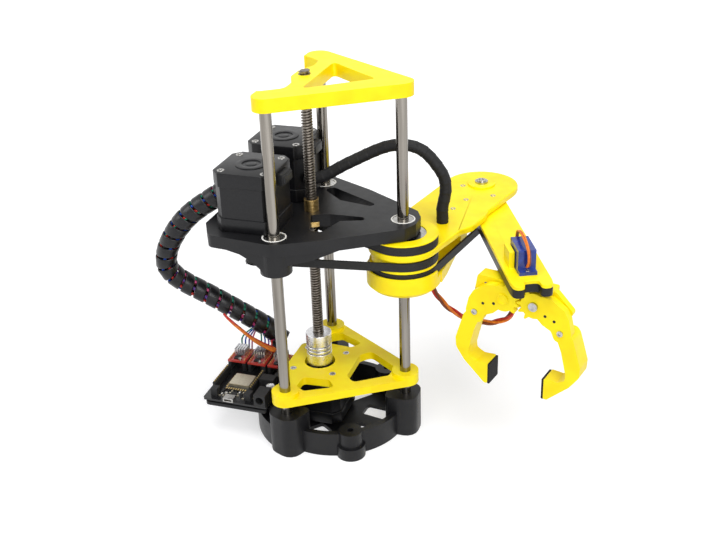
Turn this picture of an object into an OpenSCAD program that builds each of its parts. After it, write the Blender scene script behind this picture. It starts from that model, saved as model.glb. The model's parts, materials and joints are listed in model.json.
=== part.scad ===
// Desktop robot arm: a platform climbs three upright rods on a lead screw and
// carries a belt-driven two-link arm with a turning wrist and a two-jaw gripper.

/* [Frame] */
// Distance between the two guide rods beside the motors
rod_span = 100; // [96:1:122]
// Distance from the line of those two rods to the shoulder rod
rod_reach = 75; // [72:1:92]
// Diameter of the three guide rods
rod_d = 8; // [6:0.1:10]
// Height of the top face of the lower plate
low_z = 47; // [46:1:60]
// Thickness of the lower plate
low_t = 6; // [5:0.5:7]
// Height of the underside of the top plate
top_z = 259; // [222:0.5:312]
// Thickness of the top plate
top_t = 9.5; // [8:0.5:12]
// Width of the lower plate outside the rod centres
plate_edge = 9.8; // [9:0.1:13]
// Width of the top plate outside the rod centres
top_edge = 8.5; // [8:0.1:12]

/* [Base] */
// Height of the ring wall
wall_h = 18.5; // [12:0.5:24]
// Thickness of the ring wall
wall_t = 4.5; // [3:0.5:6]
// Thickness of the floor
floor_t = 3; // [2:0.5:4]
// Height of the rod bosses
boss_h = 31.5; // [24:0.5:36]
// Width of the rod bosses
boss_w = 25; // [20:1:28]
// Radius of the circle of bench screws
bench_r = 51; // [48:1:54]
// Diameter of the bench screw holes
bench_d = 4.4; // [3:0.1:6]

/* [Lift] */
// Height of the top face of the platform
lift_z = 170.7; // [162:0.1:176]
// Thickness of the platform
lift_t = 9; // [7:0.5:9]
// Diameter of the lead screw
screw_d = 8; // [6:0.1:9]
// Outer diameter of the linear bearings
bush_d = 15; // [14:0.1:17]
// Outer diameter of the shoulder tube
tube_d = 20; // [19:0.1:22]

/* [Motors] */
// Width across the flats of a motor
motor_w = 42.3; // [36:0.1:43]
// Length of the two arm motors
motor_l = 42; // [34:0.5:44]
// Length of the lift motor
lift_motor_l = 35; // [30:0.5:36]
// Distance between the screws of a motor face
screw_pitch = 31; // [26:0.5:32]
// Distance between the two arm motors
motor_gap = 58.4; // [50:0.1:71]

/* [Belts] */
// Width of the belts
belt_w = 6; // [5:0.1:7.2]
// Thickness of the belts
belt_t = 1.4; // [1:0.1:1.8]
// Radius of the shoulder pulley and the idler under it
pulley_r = 22.5; // [19:0.1:23]
// Radius of the elbow pulley
elbow_r = 17; // [14:0.1:19]
// Radius of the motor pinions
pinion_r = 7.5; // [6:0.1:8]

/* [Arm] */
// Length from the shoulder to the elbow
upper_len = 120; // [108:1:146]
// Angle of the upper arm at rest
upper_ang = 76; // [70:1:82]
// Thickness of the upper arm plate
upper_t = 4.8; // [4:0.1:5.5]
// Length from the elbow to the wrist
fore_len = 138; // [118:1:166]
// Angle of the forearm at rest
fore_ang = -65.5; // [-70:0.5:-60]
// Width of the forearm
fore_w = 28; // [24:1:32]
// Thickness of the forearm body
fore_t = 6; // [5:0.1:6.4]

/* [Gripper] */
// Angle that the gripper is turned to at rest
grip_ang = -12.9; // [-30:0.1:20]
// Distance between the pivots of the two jaws
pivot_gap = 22.4; // [21.4:0.1:26]
// Distance between the jaw pads at rest
jaw_gap = 38.8; // [32:0.1:46]
// Thickness of the jaws
jaw_t = 14.5; // [12:0.5:17]
// Height of the pads
pad_h = 15.5; // [12:0.5:18]

/* [Hidden] */

$fn = 64;
fit = 0.05;             // clearance of a part that is fixed in its seat
play = 0.06;            // running clearance of a round part, on the radius
soft = 0.3;             // gap between a belt and what it runs on
eps = 0.5;

yellow = [0.98, 0.86, 0.05];
black = [0.09, 0.09, 0.1];
steel = [0.75, 0.75, 0.77];
brass = [0.75, 0.55, 0.25];

rod_c = (rod_span * rod_span / 4 + rod_reach * rod_reach) / (2 * rod_reach);
rod_a = [rod_c - rod_reach, -rod_span / 2];
rod_b = [rod_c, 0];
rod_k = [rod_c - rod_reach, rod_span / 2];
rods = [rod_a, rod_b, rod_k];
rod_r = rod_d / 2;
rod_foot = 4;           // height at which the rods stand in the base
rod_seat = top_t - 2.5; // depth of the rods in the top plate
screw_r = screw_d / 2;
screw_x = rod_a[0] + 8.1;
base_r = rod_c - 1.7;
bulge_r = rod_c + 6.8;
collar_h = 3;
plat_z = lift_z - lift_t;
tube_z = lift_z - 49.5; // lower end of the shoulder tube
tube_r = tube_d / 2;
bush_r = bush_d / 2;
bush_l = 24;
ball_r = tube_r + 6;    // outer radius of the ball bearings
ball_t = 7;
motor_x = rod_a[0] - rod_r - motor_w / 2 + 3.1;
motor_y = motor_gap / 2;

// Heights of the stack on the shoulder tube, from the top down
pul_top = plat_z - 0.7;
belt1_z = pul_top - 1 - soft - belt_w;
arm_top = belt1_z - soft;
arm_bot = arm_top - upper_t;
belt2_z = arm_bot - 0.5 - soft - belt_w;
mid_t = 2;
mid_z = belt2_z - soft - mid_t;
belt3_z = mid_z - soft - belt_w;
idle_bot = belt3_z - soft - 1;
drum_top = idle_bot - 0.5;
drum_bot = tube_z + 0.3;
drum_r = pulley_r + 3.6;

elbow = rod_b + upper_len * [cos(upper_ang), sin(upper_ang)];
wrist = elbow + fore_len * [cos(fore_ang), sin(fore_ang)];
cover_t = 2.5;
fore_top = arm_bot - 0.6;
body_top = fore_top - cover_t;
fore_bot = body_top - fore_t;
elbow_end = 28;         // radius of the elbow end of the upper arm

servo = [22.5, 12];     // length and width of a small servo
servo_up = 16;          // height of the servo above its ears
servo_end = 6;          // distance from the servo's shaft to its near end
palm_top = fore_bot - 2.4;
piv_x = pivot_gap / 2;
piv_z = palm_top - 10.6;
jaw_x = jaw_gap / 2;

// Arc of n + 1 points about c
function arc(c, r, a0, a1, n) = [for (i = [0:n]) c + r * [cos(a0 + (a1 - a0) * i / n),
    sin(a0 + (a1 - a0) * i / n)]];

// Outline around the points p at the distance r, counter-clockwise
function fat(p, r, n = 8) = let (k = len(p)) [for (i = [0:k - 1]) let (
    a = p[(i + k - 1) % k], b = p[i], c = p[(i + 1) % k],
    a0 = atan2(b[1] - a[1], b[0] - a[0]) - 90,
    a2 = atan2(c[1] - b[1], c[0] - b[0]) - 90,
    a1 = a0 + (a2 - a0 + 720) % 360)
    each arc(b, r, a0, a1, n)];

// Corner of an outline rounded to the radius r
function corner(a, b, c, r, n) = let (
    u = (a - b) / norm(a - b), v = (c - b) / norm(c - b),
    h = acos(u * v) / 2,
    m = b + (u + v) / norm(u + v) * r / sin(h),
    s = b + u * r / tan(h) - m,
    e = b + v * r / tan(h) - m,
    a0 = atan2(s[1], s[0]),
    d = (atan2(e[1], e[0]) - a0 + 540) % 360 - 180)
    [for (i = [0:n]) m + r * [cos(a0 + d * i / n), sin(a0 + d * i / n)]];

// Outline through p, where each point is [x, y, radius]
function soft_poly(p, n = 4) = let (k = len(p)) [for (i = [0:k - 1]) let (
    a = p[(i + k - 1) % k], b = p[i], c = p[(i + 1) % k])
    each (b[2] > 0 ? corner([a[0], a[1]], [b[0], b[1]], [c[0], c[1]], b[2], n)
        : [[b[0], b[1]]])];

function mirrored(p) = [for (i = [len(p) - 1:-1:0]) [p[i][0], -p[i][1], p[i][2]]];

module slab(p, h) {
    linear_extrude(h) polygon(p);
}

// Outline of two round ends joined by straight sides, from the origin along +X
function rounds(r1, r2, d, n = 24) = let (a = acos((r1 - r2) / d))
    concat(arc([0, 0], r1, a, 360 - a, n), arc([d, 0], r2, -a, a, n));

// Belt around a wheel at p and a wheel at q
module belt(p, r1, q, r2, z) {
    d = norm(q - p);
    translate([p[0], p[1], z])
        rotate(atan2(q[1] - p[1], q[0] - p[0]))
            difference() {
                slab(rounds(r1 + belt_t, r2 + belt_t, d), belt_w);
                translate([0, 0, -1]) slab(rounds(r1, r2, d), belt_w + 2);
            }
}

module at_rods(z = 0) {
    for (p = rods) translate([p[0], p[1], z]) children();
}

// Round cord along the points p, with s sides
function unit(v) = v / norm(v);
function way(p, i) = unit(p[min(i + 1, len(p) - 1)] - p[max(i - 1, 0)]);
function side(t) = unit(cross(t, abs(t[2]) > 0.9 ? [1, 0, 0] : [0, 0, 1]));
function frames(p, i, last) = i == len(p) ? [] : let (
    t = way(p, i), s = i == 0 ? side(t) : unit(last - t * (last * t)))
    concat([s], frames(p, i + 1, s));
module cord(p, r, s) {
    k = len(p);
    f = frames(p, 0, [0, 0, 0]);
    ring = [for (i = [0:k - 1]) let (t = way(p, i), u = f[i], v = cross(t, u))
        for (j = [0:s - 1]) p[i] + r * (cos(j * 360 / s) * u + sin(j * 360 / s) * v)];
    sides = [for (i = [0:k - 2], j = [0:s - 1]) let (a = i * s, b = a + s, m = (j + 1) % s)
        each [[a + j, b + m, a + m], [a + j, b + j, b + m]]];
    ends = [for (j = [1:s - 2]) each [[0, j, j + 1],
        [(k - 1) * s, (k - 1) * s + j + 1, (k - 1) * s + j]]];
    polyhedron(ring, concat(sides, ends), convexity = 6);
}

// Points between the chosen ones, on a smooth curve
function blend4(a, b, c, d, t) = 0.5 * (2 * b + (c - a) * t
    + (2 * a - 5 * b + 4 * c - d) * t * t + (3 * b - a - 3 * c + d) * t * t * t);
function smooth(p, n) = let (k = len(p)) concat([for (i = [0:k - 2], j = [0:n - 1])
    blend4(p[max(i - 1, 0)], p[i], p[i + 1], p[min(i + 2, k - 1)], j / n)], [p[k - 1]]);

// Routes of the cords
loom_d = 16;
loom_way = [[-65, -14, 186], [-71, -14, 184.8], [-81, -14, 178.5], [-99, -16, 165.5],
    [-113, -16, 150], [-123.5, -14, 132], [-127, -10, 116], [-120, -4, 103],
    [-100, 4, 88], [-76, 14, 69], [-61, 22, 55], [-56, 26, 45.5], [-52, 27, 42.5]];
sleeve_d = 9;
sleeve_way = [[-21.6, 14, 188], [-17, 14, 188], [-8, 16, 190.5], [10, 21, 200.5],
    [37, 29, 212], [57, 35, 209], [71, 39, 192], [74, 40, 179], [72, 39, 165],
    [72, 39, 158], [72, 39, 153.5]];
lead_d = 4.5;
lead_way = [[61, 30, 123.4], [61, 30.2, 121], [62, 31.5, 114], [65.5, 32, 105],
    [72, 29.5, 97], [82, 25, 91], [97, 18.5, 88], [113, 12, 91.5], [125, 8, 98],
    [130.5, 6, 105], [131.5, 5.5, 112.5], [131.5, 5.5, 120.2]];
loop_d = 2.6;

module base_shell() {
    color(black)
    difference() {
        union() {
            difference() {
                linear_extrude(wall_h) base_outline(0);
                translate([0, 0, floor_t]) linear_extrude(wall_h)
                    base_outline(wall_t);
            }
            for (p = rods) rotate(atan2(p[1], p[0])) translate([rod_c, 0])
                slab(soft_poly([[-13, -boss_w / 2, 4], [10.5, -boss_w / 2, 9],
                    [10.5, boss_w / 2, 9], [-13, boss_w / 2, 4]]), boss_h);
            for (a = [-60, 60, 180]) rotate(a) translate([bench_r, 0]) {
                cylinder(r = 8.5, h = wall_h + 2);
                cylinder(r = 10.5, h = wall_h / 2);
            }
            // posts that carry the circuit board
            for (a = [190, 205]) rotate(a) translate([bulge_r - wall_t - 0.5, 0])
                cylinder(r = 4, h = bracket_z);
        }
        translate([0, 0, rod_foot]) at_rods() cylinder(r = rod_r + fit, h = boss_h);
        for (p = rods) rotate(atan2(p[1], p[0])) translate([rod_c - 14, -0.8, 8])
            cube([13, 1.6, boss_h]);
        for (a = [-60, 60, 180]) rotate(a) translate([bench_r, 0, -1])
            cylinder(d = bench_d, h = wall_h + 6);
        for (a = [0:60:300]) rotate(a) translate([0, 0, -1])
            slab(soft_poly([[18.2, 3.1, 2], [38.6, -0.9, 3], [38, 14.3, 3],
                [19.5, 16.3, 2]]), floor_t + 2);
    }
}

bracket_z = 24;
// Ring that bulges out at the rear under the circuit board, drawn d inside its wall
module base_outline(d) {
    circle(base_r - d, $fn = 96);
    intersection() {
        circle(bulge_r - d, $fn = 96);
        translate([-1.2 * d, 0]) polygon([[0, 0], [-200, -300], [-300, 0], [-200, 300]]);
    }
}

module lower_plate() {
    color(yellow)
    difference() {
        union() {
            translate([0, 0, low_z - low_t])
                slab(fat([rod_a, rod_b, rod_k], plate_edge), low_t);
            at_rods(low_z - low_t) cylinder(r = plate_edge, h = low_t + collar_h);
            translate([rod_a[0] - 14, -motor_w / 2, low_z - low_t])
                slab(soft_poly([[0, 0, 4], [20, -3, 0], [20, motor_w + 3, 0],
                    [0, motor_w, 4]]), low_t);
        }
        at_rods(low_z - low_t - 1) cylinder(r = rod_r + fit, h = 20);
        translate([screw_x, 0, 0]) cylinder(r = 11.5, h = 80);
        motor_holes(screw_x, 0, 1.7);
        translate([0, 0, low_z - low_t - 1]) {
            slab(soft_poly([[screw_x + 26.7, -15, 4], [screw_x + 33.7, -22.5, 4],
                [rod_b[0] - 10.5, -6.5, 3], [rod_b[0] - 10.5, 6.5, 3],
                [screw_x + 33.7, 22.5, 4], [screw_x + 26.7, 15, 4]]), low_t + 2);
            for (m = [0, 1]) mirror([0, m, 0]) translate([rod_a[0], rod_a[1]])
                slab(soft_poly([[4, 11.5, 2], [11.3, 7, 3], [31, 17.7, 3],
                    [24.5, 25.5, 3], [4.6, 24.2, 3]]), low_t + 2);
        }
    }
}

module motor_holes(x, y, r) {
    for (i = [-1, 1], j = [-1, 1])
        translate([x + i * screw_pitch / 2, y + j * screw_pitch / 2, 0])
            cylinder(r = r, h = 300);
}

module top_plate() {
    color(yellow)
    difference() {
        translate([0, 0, top_z]) slab(fat([rod_a, rod_b, rod_k], top_edge), top_t);
        at_rods(top_z - 1) cylinder(r = rod_r + fit, h = rod_seat + 1.2);
        translate([screw_x, 0, top_z - 1]) cylinder(r = screw_r + play, h = 30);
        translate([0, 0, top_z - 1])
            slab(soft_poly([[rod_a[0] + 17.8, -rod_span / 2 + 19, 2],
                [rod_b[0] - 17.2, 0, 2], [rod_a[0] + 17.8, rod_span / 2 - 19, 2]]),
                top_t + 2);
        translate([rod_a[0], 0, top_z - 1])
            slab(soft_poly([[-14, -rod_span / 2 + 6, 0], [-6, -rod_span / 2 + 8.5, 4],
                [6.8, -rod_span / 2 + 17, 8], [6.8, -20, 8], [1.1, -7, 6],
                [1.1, 7, 6], [6.8, 20, 8], [6.8, rod_span / 2 - 17, 8],
                [-6, rod_span / 2 - 8.5, 4], [-14, rod_span / 2 - 6, 0]]), top_t + 2);
    }
}

module rod(p) {
    color(steel) translate([p[0], p[1], rod_foot])
        cylinder(r = rod_r, h = top_z + rod_seat - rod_foot);
}
module rod_front() rod(rod_a);
module rod_shoulder() rod(rod_b);
module rod_back() rod(rod_k);

function cut_square(w, c) = [[-w, c - w], [c - w, -w], [w - c, -w], [w, c - w],
    [w, w - c], [w - c, w], [c - w, w], [-w, w - c]];

// Square motor with cut corners, its shaft end at z = 0 and its body above
module motor_body(l) {
    difference() {
        union() {
            slab(cut_square(motor_w / 2, 5.5), 9);
            translate([0, 0, 9]) slab(cut_square(motor_w / 2 - 0.6, 5.5), l - 18);
            translate([0, 0, l - 9]) slab(cut_square(motor_w / 2, 5.5), 9);
        }
        translate([0, 0, l - 2]) cylinder(r = 5.5, h = 3);
        for (i = [-1, 1], j = [-1, 1])
            translate([i * screw_pitch / 2, j * screw_pitch / 2, l - 2])
                cylinder(r = 3.1, h = 3);
    }
}

module lift_motor() {
    color(black) translate([screw_x, 0, low_z - low_t]) mirror([0, 0, 1])
        motor_body(lift_motor_l);
    color(steel) translate([screw_x, 0, low_z - low_t]) cylinder(r = 2.5, h = 12);
}

module board_bracket() {
    color(black) difference() {
        translate([-89, -48, bracket_z]) slab(soft_poly([[1, 1, 3], [51, 1, 3],
            [51, 65, 3], [1, 65, 3]]), 3);
        translate([-82, -40, bracket_z - 1]) cube([22, 20, 5]);
        translate([-82, -14, bracket_z - 1]) cube([16, 18, 5]);
    }
    // saddle that carries the wire loom
    color(black) difference() {
        translate([-66, 14, bracket_z]) cube([9, 22, 14]);
        translate([-70, 27, 42.5]) rotate([0, 90, 0]) cylinder(r = loom_d / 2 + soft, h = 20);
        translate([-70, 10, bracket_z + 3]) cube([20, 8.5, 20]);
    }
    for (x = [-84, -42], y = [-43, 13]) color(black)
        translate([x, y, bracket_z + 3]) cylinder(r = 2.6, h = 2);
}

board_z = bracket_z + 5;
module circuit_board() {
    color([0.08, 0.08, 0.09]) translate([-89, -48, board_z])
        slab(soft_poly([[0, 0, 2], [52, 0, 2], [52, 66, 2], [0, 66, 2]]), 1.6);
}
module wifi_module() {
    color([0.8, 0.74, 0.6]) translate([-76, -29, board_z + 1.6]) cube([16, 15, 3]);
}
module driver_boards() {
    for (i = [0:2]) {
        color(black) translate([-87 + i * 16.5, -5, board_z + 1.6]) cube([14.5, 18, 7]);
        color([0.75, 0.16, 0.13]) translate([-87 + i * 16.5, -6, board_z + 8.6])
            cube([14.5, 20, 1.6]);
    }
}
module heat_sinks() {
    color(steel) for (i = [0:2]) translate([-84.2 + i * 16.5, 1, board_z + 10.2]) {
        cube([9, 9, 1.5]);
        for (j = [0:4]) translate([j * 2, 0, 1.5]) cube([1, 9, 5]);
    }
}
module power_jack() {
    color(black) difference() {
        translate([-47, -49, board_z + 1.6]) cube([9, 13, 10]);
        translate([-42.5, -50, board_z + 7]) rotate([-90, 0, 0])
            cylinder(r = 3, h = 9);
    }
}
module usb_socket() {
    color(steel) difference() {
        translate([-72, -49, board_z + 1.6]) cube([8, 6, 3]);
        translate([-71, -50, board_z + 2.3]) cube([6, 4, 1.6]);
    }
}
module wire_sockets() {
    for (i = [0:1]) color([0.9, 0.88, 0.82])
        translate([-84 + i * 27, -44, board_z + 1.6]) cube([5, 6, 6]);
    color([0.15, 0.3, 0.2]) translate([-52, -26, board_z + 1.6]) cube([11, 8, 9]);
}

module wire_loom() {
    color(black) cord(smooth(loom_way, 3), loom_d / 2, 10);
}

module lead_screw() {
    color([0.55, 0.5, 0.45]) translate([screw_x, 0, low_z + 10])
        cylinder(r = screw_r, h = top_z + top_t + 3 - low_z - 10);
}

module shaft_coupling() {
    color([0.82, 0.82, 0.84]) translate([screw_x, 0, low_z]) difference() {
        cylinder(d = 19, h = 25);
        translate([0, 0, 10]) cylinder(r = screw_r + fit, h = 16);
        translate([0, 0, -1]) cylinder(r = 2.5 + play, h = 9);
        for (z = [9, 12, 15]) translate([0, 0, z]) difference() {
            cylinder(d = 20, h = 1);
            cylinder(d = 14, h = 1);
        }
    }
}

plat_half = [[rod_a[0] - 55, rod_k[1] - 10, 4], [rod_a[0] - 45, rod_k[1] + 8, 6],
    [rod_a[0] + 3, rod_k[1] + 13, 8], [rod_a[0] + 37, rod_k[1] - 5, 10],
    [rod_b[0] + 6, 16, 4], [rod_b[0] + 11, 6, 2]];
edge_a = [rod_a[0] + 1, rod_a[1] - 12];
edge_b = [rod_b[0] + 6, -16];
module platform() {
    o = [rod_c - 54.2, 0];
    color(black)
    difference() {
        union() {
            translate([0, 0, plat_z]) slab(soft_poly(concat(
                mirrored(plat_half), plat_half)), lift_t);
            for (p = [rod_a, rod_k]) translate([p[0], p[1], lift_z - bush_l - 1.5])
                cylinder(r = bush_r + 3.5, h = bush_l + 1.5);
            // walls that hang from the edge on both sides of each bearing boss
            for (m = [0, 1]) mirror([0, m, 0]) {
                translate([edge_a[0], edge_a[1], plat_z + 1])
                    rotate(atan2(edge_b[1] - edge_a[1], edge_b[0] - edge_a[0]))
                    translate([0, 6.5, 0]) rotate([90, 0, 0]) linear_extrude(5)
                        polygon([[-2, 0], [-2, -17], [3, -17], [7, -12], [12, -10],
                            [28, -8.5], [50, -2.2], [70, -1], [70, 0]]);
                translate([edge_a[0], edge_a[1], plat_z + 1])
                    rotate(174) translate([0, -1.5, 0]) rotate([90, 0, 0])
                    linear_extrude(5)
                        polygon([[0, 0], [0, -17], [5, -17], [9, -12.5], [15, -8],
                            [24, -4], [42, -1], [42, 0]]);
            }
            translate([rod_b[0], 0, tube_z]) cylinder(r = tube_r, h = lift_z - tube_z);
        }
        at_rods(lift_z - bush_l - 2) cylinder(r = bush_r + fit, h = 60);
        translate([0, 0, tube_z - 1]) at_rods() cylinder(r = rod_r + 1, h = 80);
        translate([rod_b[0], 0, tube_z - 1]) cylinder(r = bush_r + fit, h = bush_l + 1);
        translate([screw_x, 0, plat_z - 1]) cylinder(r = 5.2 + fit, h = 20);
        translate([screw_x, 0, plat_z - 1]) cylinder(r = 11 + fit, h = 4.5 + fit);
        for (m = [-1, 1]) translate([motor_x, m * motor_y, plat_z - 1])
            cylinder(r = 11.2, h = 20);
        translate([o[0], 0, plat_z - 1]) {
            slab(soft_poly([[-9.8, -9.5, 2], [-1.4, -33.6, 3], [7, -35, 3],
                [13.2, -14, 3], [29.9, -8.5, 2], [26.9, -4, 2], [2.7, -4.6, 3]]),
                lift_t + 2);
            slab(soft_poly([[-12, 43.5, 3], [-15.8, 36.5, 3], [1.2, 21, 3],
                [25.8, 15.8, 2], [28.2, 20, 2]]), lift_t + 2);
        }
    }
}

module lift_nut() {
    color(brass) translate([screw_x, 0, 0]) difference() {
        union() {
            translate([0, 0, plat_z]) cylinder(r = 11, h = 3.5);
            translate([0, 0, plat_z]) cylinder(r = 5.2, h = lift_t + 8.5);
        }
        translate([0, 0, plat_z - 5]) cylinder(r = screw_r + play, h = 40);
        for (a = [45:90:315]) rotate(a) translate([8, 0, plat_z - 1])
            cylinder(r = 1.6, h = 6);
    }
}

module rod_bearings() {
    color(steel) at_rods(lift_z - bush_l - 1.5) difference() {
        cylinder(r = bush_r, h = bush_l + 1.3);
        translate([0, 0, -1]) cylinder(r = rod_r + play, h = bush_l + 4);
    }
    color(steel) translate([rod_b[0], 0, tube_z]) difference() {
        cylinder(r = bush_r, h = bush_l - 0.5);
        translate([0, 0, -1]) cylinder(r = rod_r + play, h = bush_l + 2);
    }
}

module arm_motor(m) {
    color(black) translate([motor_x, m * motor_y, lift_z]) motor_body(motor_l);
    color(steel) translate([motor_x, m * motor_y, m > 0 ? belt1_z - 1 : belt2_z - 1])
        cylinder(r = 2.5, h = lift_z - (m > 0 ? belt1_z : belt2_z) + 1);
}
module shoulder_motor() arm_motor(1);
module elbow_motor() arm_motor(-1);

module motor_pinions() {
    color(steel) for (m = [-1, 1])
        translate([motor_x, m * motor_y, (m > 0 ? belt1_z : belt2_z) - 0.6]) difference() {
            union() {
                cylinder(r = pinion_r - soft, h = belt_w + 1.2);
                translate([0, 0, -1]) cylinder(r = pinion_r + 2, h = 1);
                translate([0, 0, belt_w + 1.2]) cylinder(r = pinion_r + 2, h = 1);
            }
            translate([0, 0, -2]) cylinder(r = 2.5 + fit, h = 20);
        }
}

module shoulder_belt() {
    color(black) belt(rod_b, pulley_r + soft, [motor_x, motor_y], pinion_r, belt1_z);
}
module drive_belt() {
    color(black) belt(rod_b, pulley_r + soft, [motor_x, -motor_y], pinion_r, belt2_z);
}

module arm_sleeve() {
    color(black) cord(smooth(sleeve_way, 3), sleeve_d / 2, 10);
}

// Places what is drawn along the upper arm, from the shoulder along +X
module on_upper(z) {
    translate([rod_b[0], rod_b[1], z]) rotate(upper_ang) children();
}
// Places what is drawn along the forearm, from the elbow along +X
module on_fore(z) {
    translate([elbow[0], elbow[1], z]) rotate(fore_ang) children();
}

module upper_arm_plate() {
    color(yellow) on_upper(arm_bot) difference() {
        union() {
            slab(rounds(pulley_r + 2, elbow_end, upper_len), upper_t);
            slab(soft_poly([[10, -12, 0], [46, -29.8, 12], [68, -29.5, 12],
                [upper_len, -14, 0], [20, 0, 0]]), upper_t);
        }
        translate([0, 0, -1]) cylinder(r = tube_r + 1.5, h = upper_t + 2);
        translate([upper_len, 0, -1]) cylinder(r = 4 + fit, h = upper_t + 2);
    }
}

module shoulder_pulley() {
    color(yellow) translate([rod_b[0], 0, arm_top]) difference() {
        union() {
            cylinder(r = pulley_r, h = pul_top - arm_top);
            translate([0, 0, pul_top - arm_top - 1]) cylinder(r = pulley_r + 2, h = 1);
        }
        translate([0, 0, -1]) cylinder(r = ball_r + fit, h = 20);
    }
}

module arm_bearings() {
    color(steel) for (z = [arm_top, drum_bot]) translate([rod_b[0], 0, z])
        difference() {
            cylinder(r = ball_r, h = ball_t);
            translate([0, 0, -1]) cylinder(r = tube_r + play, h = ball_t + 2);
        }
}

// Drum under the idler, the keel under the arm and the post that joins it to the plate
module upper_arm_shell() {
    color(yellow) translate([rod_b[0], 0, 0]) rotate(upper_ang) difference() {
        union() {
            translate([0, 0, drum_bot + 3]) cylinder(r = drum_r, h = drum_top - drum_bot - 3);
            translate([0, 0, drum_bot]) cylinder(r1 = drum_r - 3, r2 = drum_r, h = 3);
            difference() {
                translate([0, 0, drum_top - 1]) cylinder(r = drum_r, h = 6);
                translate([0, 0, drum_top]) cylinder(r = pulley_r + 2.5, h = 12);
                translate([2, -50, drum_top]) cube([60, 100, 12]);
            }
            intersection() {
                translate([0, 40, 0]) rotate([90, 0, 0]) linear_extrude(80)
                    polygon([[10, drum_bot + 2], [24, drum_bot + 1.5],
                        [66, drum_top - 3], [73, drum_top], [73, arm_bot],
                        [63, arm_bot], [61, drum_top], [10, drum_top]]);
                translate([0, 0, drum_bot]) linear_extrude(60)
                    polygon([[9, 1 - drum_r], [60, -13], [74, -12], [74, 12], [60, 13],
                        [9, drum_r - 1]]);
            }
        }
        translate([0, 0, drum_bot - 1]) cylinder(r = ball_r + fit, h = ball_t + 1);
        translate([0, 0, drum_bot - 1]) cylinder(r = tube_r + 2, h = 30);
    }
}

module elbow_cap() {
    color(yellow) translate([elbow[0], elbow[1], arm_top]) difference() {
        cylinder(r = 10.6, h = 1.5);
        translate([0, 0, -1]) cylinder(r = 4 + fit, h = 4);
    }
}

module elbow_pin() {
    color(steel) translate([elbow[0], elbow[1], 0]) {
        translate([0, 0, fore_bot - 8.2]) cylinder(r = 4, h = arm_top + 1.5 - fore_bot + 8.2);
        translate([0, 0, arm_top + 1.5]) cylinder(r = 5, h = 1.6);
        translate([0, 0, fore_bot - 10.4]) cylinder(r = 6.5, h = 2.2);
    }
}

module elbow_belt() {
    color(black) belt(rod_b, pulley_r + soft, elbow, elbow_r + soft, belt3_z);
}

module idler_pulley() {
    color([0.16, 0.16, 0.17]) translate([rod_b[0], 0, idle_bot]) difference() {
        union() {
            cylinder(r = pulley_r, h = arm_bot - 0.5 - idle_bot);
            cylinder(r = pulley_r + 1.5, h = 1);
            translate([0, 0, mid_z - idle_bot]) cylinder(r = pulley_r + 1.5, h = mid_t);
        }
        translate([0, 0, -1]) cylinder(r = tube_r + play, h = 40);
    }
}

fore_pts = [[-fore_w / 2, -fore_w / 2, 13.5], [fore_len + 18, -fore_w / 2, 0],
    [fore_len + 26, -fore_w / 2 + 1, 4], [fore_len + 26, -5.5, 3],
    [fore_len + 18, -5, 3], [fore_len + 18, 5, 3], [fore_len + 26, 5.5, 3],
    [fore_len + 26, fore_w / 2 - 1, 4], [fore_len + 18, fore_w / 2, 0],
    [-fore_w / 2, fore_w / 2, 13.5]];
module servo_hole(z, h) {
    translate([fore_len + servo_end - servo[0] - fit, -servo[1] / 2 - fit, z])
        cube([servo[0] + 2 * fit, servo[1] + 2 * fit, h]);
}
module forearm_cover() {
    color(yellow) on_fore(body_top) difference() {
        union() {
            slab(soft_poly(fore_pts), cover_t);
            // upright holder beside the servo
            translate([fore_len + servo_end - servo[0], servo[1] / 2 * -1 - 4.3, cover_t - 1])
                cube([15, 3.8, 13]);
        }
        translate([0, 0, -1]) cylinder(r = 4 + play, h = 10);
        servo_hole(-1, 30);
    }
}
module forearm_body() {
    color(black) on_fore(fore_bot) difference() {
        slab(soft_poly(fore_pts), fore_t);
        translate([0, 0, -1]) cylinder(r = 4 + play, h = 10);
        servo_hole(-1, 30);
    }
}
module elbow_pulley() {
    color([0.16, 0.16, 0.17]) translate([elbow[0], elbow[1], fore_bot - 8]) difference() {
        union() {
            cylinder(r = elbow_r, h = 8);
            cylinder(r = elbow_r + 1.5, h = 1);
        }
        translate([0, 0, -1]) cylinder(r = 4 + play, h = 12);
    }
}

// Small servo: shaft at the origin, the body from z = 0 up
module small_servo(up, down) {
    translate([servo_end - servo[0], -servo[1] / 2, 0]) cube([servo[0], servo[1], up]);
    translate([servo_end - servo[0] - 4.6, -servo[1] / 2, 0])
        cube([servo[0] + 9.2, servo[1], 2.4]);
    translate([servo_end - servo[0], -servo[1] / 2, -down])
        cube([servo[0], servo[1], down + 1]);
}
module wrist_servo() {
    color([0.08, 0.15, 0.6]) on_fore(fore_top) {
        translate([fore_len, 0, 0]) small_servo(servo_up, 6.5);
    }
}
module wrist_horn() {
    color([0.9, 0.9, 0.9]) translate([wrist[0], wrist[1], 0]) {
        translate([0, 0, palm_top]) cylinder(r = 3.4, h = fore_top - 6.8 - palm_top);
        translate([0, 0, palm_top + 0]) cylinder(r = 5.5, h = 1.6);
    }
}

module wrist_lead() {
    w = [[6.4, 5], [7.4, 5], [9.2, 6.4], [11, 10], [10, 16], [3, 20], [-9, 21], [-20, 18], [-24, 9],
        [-24, 3], [-24, 0]];
    color([0.85, 0.35, 0.1]) on_fore(fore_top)
        cord(smooth([for (p = w) [p[0] + fore_len, 0, p[1]]], 3), loop_d / 2, 8);
}

// Places what is drawn in the gripper's own frame: X across, -Y to the front, Z up
module on_grip() {
    translate([wrist[0], wrist[1], 0]) rotate(grip_ang) children();
}
module along_y(y0, y1) {
    translate([0, y1, 0]) rotate([90, 0, 0]) linear_extrude(y1 - y0) children();
}

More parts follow.
